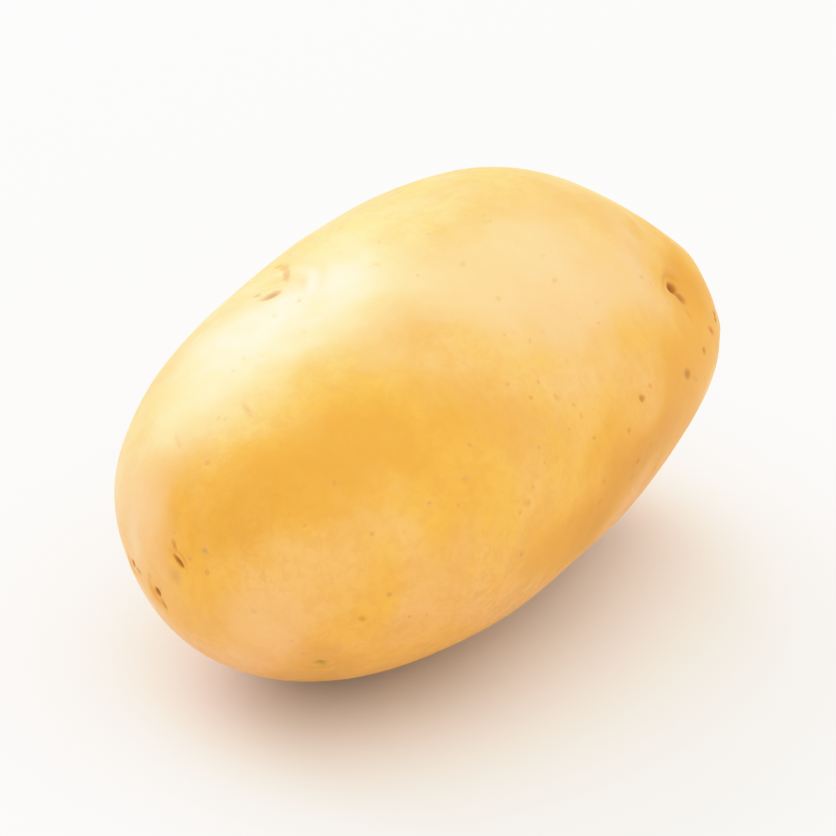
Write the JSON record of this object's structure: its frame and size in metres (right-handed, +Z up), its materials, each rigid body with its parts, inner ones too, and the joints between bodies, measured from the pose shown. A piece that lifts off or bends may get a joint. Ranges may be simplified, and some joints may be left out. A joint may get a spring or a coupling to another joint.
{
  "type": "potato",
  "caption": "Plump oblong yellow table potato, washed, with shallow eyes and a sunken stem scar, lying on a small flat resting spot.",
  "frame": {"origin": "on the plane of the resting spot, under the middle of the tuber's bounding box", "axes": "+Z up; +X along the long axis from the rose end, where the eyes crowd together, to the stem end; +Y across, towards the side with the shallow waist"},
  "size_m": [0.1106, 0.064, 0.0551],
  "materials": {
    "yellow_skin": null
  },
  "bodies": {
    "root": {"potato": "yellow_skin"}
  },
  "joints": []
}
